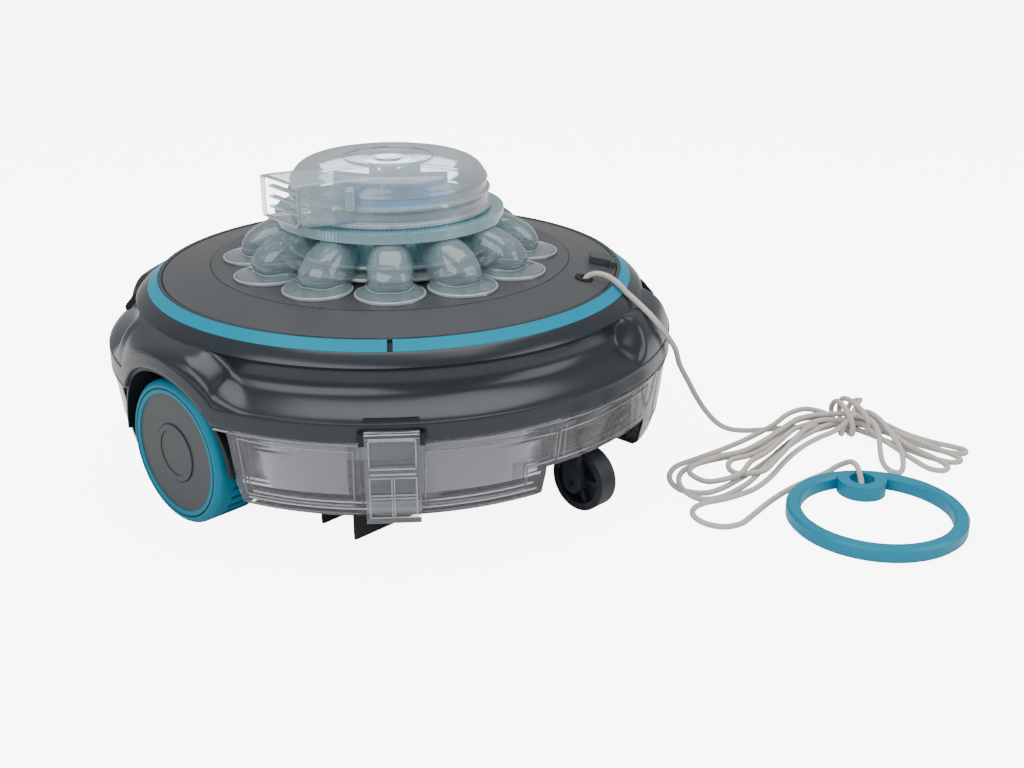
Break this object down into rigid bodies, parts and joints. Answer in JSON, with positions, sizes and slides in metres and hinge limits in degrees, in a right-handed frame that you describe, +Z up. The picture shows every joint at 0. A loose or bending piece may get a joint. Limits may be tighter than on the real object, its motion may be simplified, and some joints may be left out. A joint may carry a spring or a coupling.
{
  "type": "pool cleaner",
  "caption": "Round cordless pool-floor cleaner with a turning water-jet head, clear debris tray, two road wheels, two casters and a recovery rope with pull ring.",
  "frame": {"origin": "on the floor under the centre of the round body", "axes": "+Z up, -Y towards the front latch, +X to the right of someone facing that latch"},
  "size_m": [0.6162, 0.4261, 0.2134],
  "materials": {
    "housing_plastic": "glossy charcoal moulding",
    "deck_plastic": "satin grey moulding",
    "trim_blue": "glossy cyan strip",
    "black_plastic": "dull black moulding",
    "tray_clear": "clear smoky moulding",
    "crown_clear": "clear moulding",
    "head_clear": "clear moulding",
    "filter_grey": "light grey moulding",
    "mesh_white": "fine filter mesh",
    "black_rubber": "black rubber",
    "tyre_teal": "satin teal rubber",
    "hub_grey": "satin grey moulding",
    "steel": "stainless steel",
    "pump_teal": "teal moulding",
    "impeller_blue": "blue moulding",
    "bearing_white": "white low-friction ring",
    "motor_metal": "motor case",
    "cell_blue": "shrink sleeve",
    "board_green": "circuit board",
    "rope": "off-white braided cord",
    "ring_teal": "teal moulding"
  },
  "bodies": {
    "root": {"upper_housing": "housing_plastic", "deck_ring": "deck_plastic", "centre_plate": "deck_plastic", "trim_arc_left": "trim_blue", "trim_arc_right": "trim_blue", "chassis": "black_plastic", "housing_screws": "steel", "tray": "tray_clear", "tray_gasket": "black_rubber", "filter_basket": "filter_grey", "filter_mesh": "mesh_white", "side_screens": "filter_grey", "inlet_frame_front": "black_plastic", "inlet_frame_rear": "black_plastic", "flap_pins": "steel", "rubber_lips_front": "black_rubber", "rubber_lips_rear": "black_rubber", "side_hook_left": "black_plastic", "side_hook_right": "black_plastic", "latch_pins": "steel", "wheel_axles": "steel", "axle_retainers": "steel", "caster_arms": "black_plastic", "caster_pins": "steel", "duct_crown": "crown_clear", "pump_tower": "crown_clear", "pump_duct": "pump_teal", "motor_can": "motor_metal", "motor_bearing": "steel", "shaft_seal": "black_rubber", "head_bearing": "bearing_white", "battery_case": "black_plastic", "battery_cells": "cell_blue", "circuit_board": "board_green", "charge_socket": "black_plastic", "rope_grommet": "black_rubber", "rope_lead": "rope", "rope_hank": "rope", "rope_tail": "rope", "pull_ring": "ring_teal"},
    "road_wheel_left": {"tyre_left": "tyre_teal", "hub_left": "hub_grey", "hub_cap_left": "hub_grey"},
    "road_wheel_right": {"tyre_right": "tyre_teal", "hub_right": "hub_grey", "hub_cap_right": "hub_grey"},
    "front_caster": {"caster_wheel_front": "black_plastic"},
    "rear_caster": {"caster_wheel_rear": "black_plastic"},
    "jet_head": {"nozzle_head": "head_clear", "outlet_grille": "head_clear", "head_clip": "bearing_white"},
    "pump_rotor": {"motor_shaft": "steel", "impeller": "impeller_blue", "impeller_nut": "steel"},
    "front_latch": {"latch_front": "head_clear"},
    "rear_latch": {"latch_rear": "head_clear"},
    "front_flap": {"flap_front": "hub_grey"},
    "rear_flap": {"flap_rear": "hub_grey"},
    "socket_cap": {"charge_cap": "hub_grey"},
    "push_button": {"power_button": "trim_blue"}
  },
  "joints": [
    {"name": "road_wheel_left_turn", "type": "hinge", "parent": "root", "child": "road_wheel_left", "pos_m": [-0.12819, -0.11542, 0.0485], "axis": [-0.7431, -0.6691, 0], "continuous": true},
    {"name": "road_wheel_right_turn", "type": "hinge", "parent": "root", "child": "road_wheel_right", "pos_m": [0.12819, 0.11542, 0.0485], "axis": [0.7431, 0.6691, 0], "continuous": true},
    {"name": "front_caster_turn", "type": "hinge", "parent": "root", "child": "front_caster", "pos_m": [0.12512, -0.12551, 0.0215], "axis": [-0.7431, -0.6691, 0], "continuous": true},
    {"name": "rear_caster_turn", "type": "hinge", "parent": "root", "child": "rear_caster", "pos_m": [-0.12512, 0.12551, 0.0215], "axis": [0.7431, 0.6691, 0], "continuous": true},
    {"name": "jet_head_turn", "type": "hinge", "parent": "root", "child": "jet_head", "pos_m": [0, 0, 0.175], "axis": [0, 0, 1], "continuous": true},
    {"name": "pump_spin", "type": "hinge", "parent": "root", "child": "pump_rotor", "pos_m": [0, 0, 0.15], "axis": [0, 0, 1], "continuous": true},
    {"name": "front_latch_swing", "type": "hinge", "parent": "root", "child": "front_latch", "pos_m": [0, -0.202, 0.088], "axis": [-1, 0, 0], "range_deg": [0, 110]},
    {"name": "rear_latch_swing", "type": "hinge", "parent": "root", "child": "rear_latch", "pos_m": [0, 0.202, 0.088], "axis": [1, 0, 0], "range_deg": [0, 110]},
    {"name": "front_flap_swing", "type": "hinge", "parent": "root", "child": "front_flap", "pos_m": [0.07494, -0.08323, 0.037], "axis": [0.7431, 0.6691, 0], "range_deg": [0, 60]},
    {"name": "rear_flap_swing", "type": "hinge", "parent": "root", "child": "rear_flap", "pos_m": [-0.07494, 0.08323, 0.037], "axis": [-0.7431, -0.6691, 0], "range_deg": [0, 60]},
    {"name": "socket_cap_flip", "type": "hinge", "parent": "root", "child": "socket_cap", "pos_m": [0.15609, -0.01641, 0.13786], "axis": [0.1045, 0.9945, 0], "range_deg": [0, 120]},
    {"name": "power_press", "type": "slide", "parent": "root", "child": "push_button", "axis": [0, -0.1867, -0.9824], "range_m": [0, 0.0014], "stiffness_N_per_m": 300}
  ]
}
